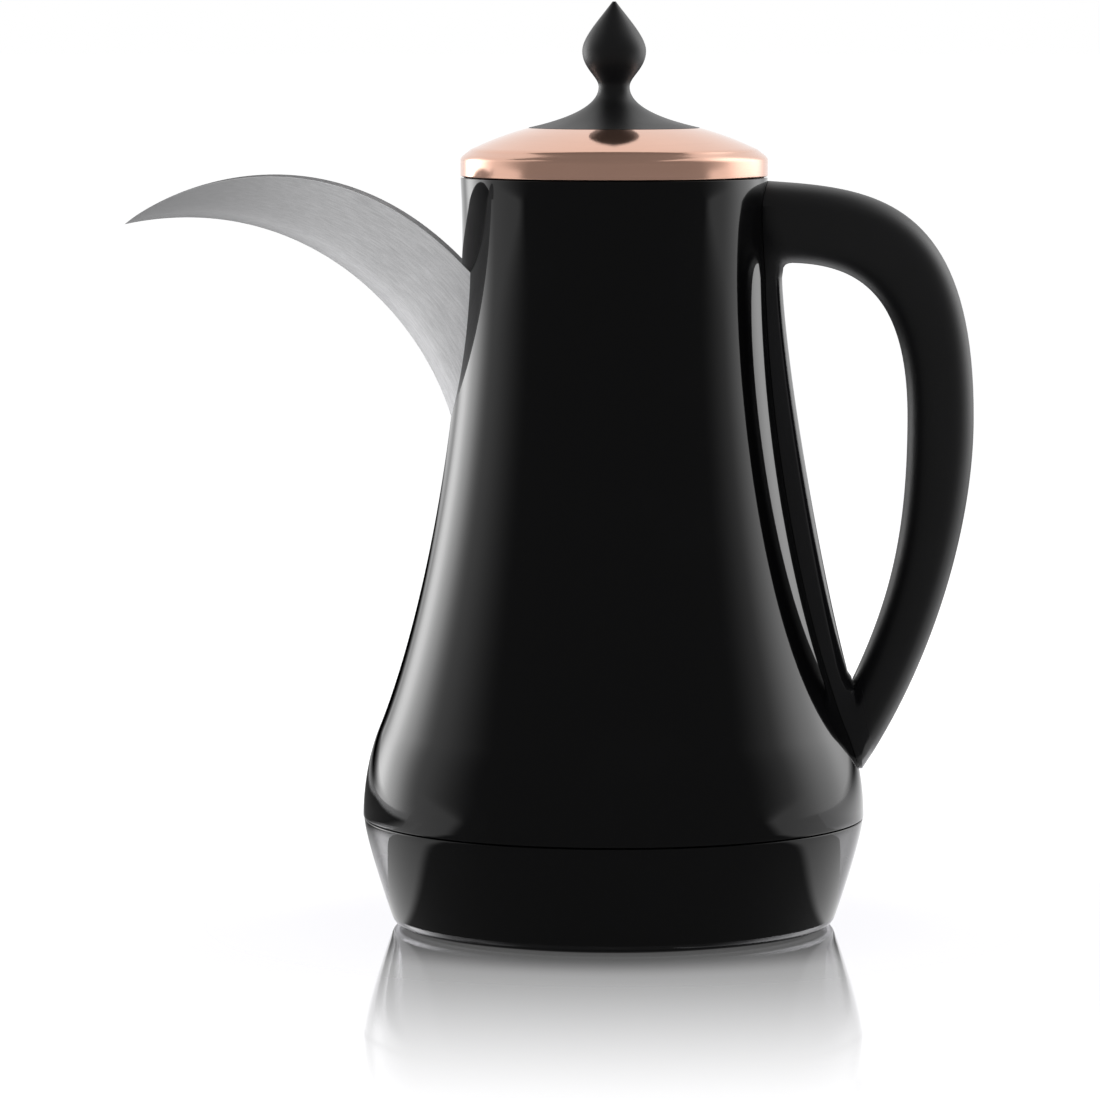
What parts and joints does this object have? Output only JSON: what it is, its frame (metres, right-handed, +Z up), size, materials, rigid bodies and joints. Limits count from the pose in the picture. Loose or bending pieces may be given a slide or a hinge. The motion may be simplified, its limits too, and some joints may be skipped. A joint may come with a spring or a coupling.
{
  "type": "electric dallah coffee pot",
  "caption": "Electric dallah coffee pot: tapered glossy black jug, crescent steel spout, loop handle, copper-coloured lid with a turned finial, on a power base.",
  "frame": {"origin": "where the pot's own axis meets the table, under the middle of the power base", "axes": "+Z up along the pot's axis, +X towards the handle, -X towards the spout, +Y towards the back, where the supply cord enters the base"},
  "size_m": [0.2623, 0.1556, 0.286],
  "materials": {
    "gloss_black": "high gloss",
    "matte_black": "soft matte",
    "moulded_black": "fine spark texture",
    "copper_satin": "satin anodised, copper colour",
    "brushed_steel": "fine brushed",
    "silicone": "translucent matte",
    "foot_rubber": "matte",
    "contact_brass": "bright",
    "zinc_screw": "zinc plated",
    "cast_aluminium": "as cast",
    "element_sheath": "heat tinted",
    "steatite": "unglazed",
    "fuse_case": "dull"
  },
  "bodies": {
    "power_base": {"base_housing": "gloss_black", "base_deck": "moulded_black", "base_foot_ring": "foot_rubber", "base_connector": "moulded_black", "connector_rings": "contact_brass", "base_screws": "zinc_screw", "cord_gland": "moulded_black"},
    "turning_cap": {"connector_cap": "moulded_black"},
    "jug": {"body_shell": "gloss_black", "neck_ring": "moulded_black", "inner_vessel": "brushed_steel", "vessel_seal": "silicone", "spout": "brushed_steel", "spout_seal": "silicone", "spout_strainer": "brushed_steel", "handle_grip": "matte_black", "handle_screws": "zinc_screw", "heater_plate": "cast_aluminium", "heating_element": "element_sheath", "thermostat": "steatite", "thermal_fuse": "fuse_case", "jug_base_cover": "moulded_black", "jug_base_screws": "zinc_screw", "jug_socket": "moulded_black", "socket_pins": "contact_brass"},
    "lid": {"lid_ring": "copper_satin", "lid_finial": "matte_black", "lid_liner": "moulded_black", "lid_gasket": "silicone", "lid_screw": "zinc_screw"}
  },
  "joints": [
    {"name": "base_swivel", "type": "hinge", "parent": "power_base", "child": "turning_cap", "pos_m": [0, 0, 0.041], "axis": [0, 0, 1], "continuous": true},
    {"name": "jug_lift", "type": "slide", "parent": "turning_cap", "child": "jug", "axis": [0, 0, 1], "range_m": [0, 0.08]},
    {"name": "lid_lift", "type": "slide", "parent": "jug", "child": "lid", "axis": [0, 0, 1], "range_m": [0, 0.06]}
  ]
}
